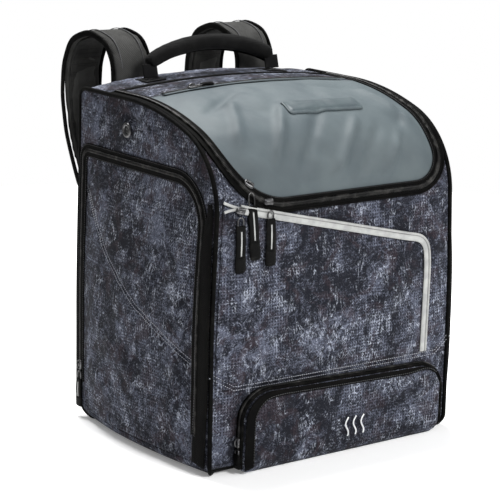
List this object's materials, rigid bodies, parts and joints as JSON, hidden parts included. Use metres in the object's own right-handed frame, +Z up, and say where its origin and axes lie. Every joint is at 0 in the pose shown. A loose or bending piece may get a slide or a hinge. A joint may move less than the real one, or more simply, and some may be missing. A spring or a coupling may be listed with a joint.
{
  "type": "ski boot bag",
  "caption": "Boxy padded ski boot backpack with a clamshell lid, fold-down side doors over boot bays, front pockets, haul handle and shoulder straps.",
  "frame": {"origin": "middle of the flat rest face under the base", "axes": "+Z up, -Y out of the front with the slanted pocket, +X to the right seen from the front"},
  "size_m": [0.3932, 0.4398, 0.5261],
  "materials": {
    "printed_fabric": "woven polyester with a charcoal and slate mottled print",
    "smooth_fabric": "smooth coated polyester, satin",
    "trim_fabric": "black webbing, binding and zip tape",
    "padded_mesh": "padded dark grey twill and spacer mesh",
    "lining_fabric": "coated lining",
    "reflective_tape": "light grey reflective tape",
    "dark_metal": "dark plated zinc",
    "moulded_plastic": "moulded nylon"
  },
  "bodies": {
    "bag": {"base_panel": "trim_fabric", "base_board": "moulded_plastic", "front_panel": "printed_fabric", "top_yoke": "printed_fabric", "back_panel": "padded_mesh", "back_pad_left": "padded_mesh", "back_pad_centre": "padded_mesh", "back_pad_right": "padded_mesh", "body_zip_tape": "trim_fabric", "edge_piping_left": "trim_fabric", "edge_piping_right": "trim_fabric", "side_panel_left": "printed_fabric", "side_panel_right": "printed_fabric", "eyelet_left": "dark_metal", "eyelet_right": "dark_metal", "boot_divider_left": "lining_fabric", "boot_divider_right": "lining_fabric", "front_pocket": "printed_fabric", "pocket_zip": "reflective_tape", "pocket_slider": "dark_metal", "vent_gusset": "trim_fabric", "vent_pocket": "printed_fabric", "vent_zip": "trim_fabric", "handle_patch_left": "trim_fabric", "handle_patch_right": "trim_fabric", "strap_patch_left": "trim_fabric", "strap_patch_right": "trim_fabric", "lower_webbing_left": "trim_fabric", "lower_webbing_right": "trim_fabric"},
    "lid": {"lid_front_panel": "smooth_fabric", "lid_rear_band": "printed_fabric", "lid_zip": "trim_fabric", "lid_label": "smooth_fabric", "goggle_zip": "trim_fabric", "lid_slider_left": "dark_metal"},
    "door_left": {"side_door_left": "printed_fabric", "door_zip_left": "trim_fabric"},
    "door_right": {"side_door_right": "printed_fabric", "door_zip_right": "trim_fabric"},
    "handle": {"handle_grip": "padded_mesh", "handle_foot_left": "trim_fabric", "handle_foot_right": "trim_fabric"},
    "strap_left": {"strap_pad_left": "padded_mesh", "ladder_lock_left": "moulded_plastic"},
    "strap_right": {"strap_pad_right": "padded_mesh", "ladder_lock_right": "moulded_plastic"},
    "lid_runner": {"lid_slider_right": "dark_metal"},
    "vent_runner": {"vent_slider": "dark_metal"},
    "goggle_runner": {"goggle_slider": "dark_metal"},
    "door_runner_left": {"door_slider_left": "dark_metal"},
    "door_runner_right": {"door_slider_right": "dark_metal"},
    "pull_lid_left": {"lid_pull_left": "trim_fabric"},
    "pull_lid_right": {"lid_pull_right": "trim_fabric"},
    "pull_pocket": {"pocket_pull": "trim_fabric"},
    "pull_vent": {"vent_pull": "trim_fabric"},
    "pull_goggle": {"goggle_pull": "dark_metal"},
    "pull_door_left": {"door_pull_left": "trim_fabric"},
    "pull_door_right": {"door_pull_right": "trim_fabric"}
  },
  "joints": [
    {"name": "lid_hinge", "type": "hinge", "parent": "bag", "child": "lid", "pos_m": [0, 0.09615, 0.4675], "axis": [-1, 0, 0], "range_deg": [0, 80]},
    {"name": "door_left_fold", "type": "hinge", "parent": "bag", "child": "door_left", "pos_m": [-0.1903, 0, 0.014], "axis": [0, -1, 0], "range_deg": [0, 75]},
    {"name": "door_right_fold", "type": "hinge", "parent": "bag", "child": "door_right", "pos_m": [0.1903, 0, 0.014], "axis": [0, 1, 0], "range_deg": [0, 75]},
    {"name": "handle_fold", "type": "hinge", "parent": "bag", "child": "handle", "pos_m": [0, 0.124, 0.4686], "axis": [-1, 0, 0], "range_deg": [-60, 0]},
    {"name": "strap_left_swing", "type": "hinge", "parent": "bag", "child": "strap_left", "pos_m": [-0.104, 0.168, 0.452], "axis": [1, 0, 0], "range_deg": [0, 10]},
    {"name": "strap_right_swing", "type": "hinge", "parent": "bag", "child": "strap_right", "pos_m": [0.104, 0.168, 0.452], "axis": [1, 0, 0], "range_deg": [0, 10]},
    {"name": "lid_runner_slide", "type": "slide", "parent": "lid", "child": "lid_runner", "axis": [0.9998, 0, -0.02], "range_m": [0, 0.2]},
    {"name": "vent_runner_slide", "type": "slide", "parent": "bag", "child": "vent_runner", "axis": [0, 0, 1], "range_m": [0, 0.024]},
    {"name": "goggle_runner_slide", "type": "slide", "parent": "lid", "child": "goggle_runner", "axis": [0.9976, 0, 0.0698], "range_m": [0, 0.06]},
    {"name": "door_runner_left_slide", "type": "slide", "parent": "door_left", "child": "door_runner_left", "axis": [0, 0, 1], "range_m": [0, 0.24]},
    {"name": "door_runner_right_slide", "type": "slide", "parent": "door_right", "child": "door_runner_right", "axis": [0, 0, 1], "range_m": [0, 0.24]},
    {"name": "pull_lid_left_swing", "type": "hinge", "parent": "lid", "child": "pull_lid_left", "pos_m": [-0.14, -0.1572, 0.3612], "axis": [-1, 0, 0], "range_deg": [0, 95]},
    {"name": "pull_lid_right_swing", "type": "hinge", "parent": "lid_runner", "child": "pull_lid_right", "pos_m": [-0.114, -0.1644, 0.337], "axis": [-1, 0, 0], "range_deg": [0, 95]},
    {"name": "pull_pocket_swing", "type": "hinge", "parent": "bag", "child": "pull_pocket", "pos_m": [-0.16, -0.16405, 0.333], "axis": [-1, 0, 0], "range_deg": [0, 95]},
    {"name": "pull_vent_swing", "type": "hinge", "parent": "vent_runner", "child": "pull_vent", "pos_m": [-0.1566, -0.16405, 0.0324], "axis": [0, 1, 0], "range_deg": [0, 90]},
    {"name": "pull_goggle_lift", "type": "hinge", "parent": "goggle_runner", "child": "pull_goggle", "pos_m": [-0.0954, 0.025, 0.46714], "axis": [0, -1, 0], "range_deg": [0, 95]},
    {"name": "pull_door_left_swing", "type": "hinge", "parent": "door_runner_left", "child": "pull_door_left", "pos_m": [-0.1946, 0.15, 0.0644], "axis": [0, 1, 0], "range_deg": [0, 90]},
    {"name": "pull_door_right_swing", "type": "hinge", "parent": "door_runner_right", "child": "pull_door_right", "pos_m": [0.1946, 0.15, 0.0644], "axis": [0, -1, 0], "range_deg": [0, 90]}
  ]
}
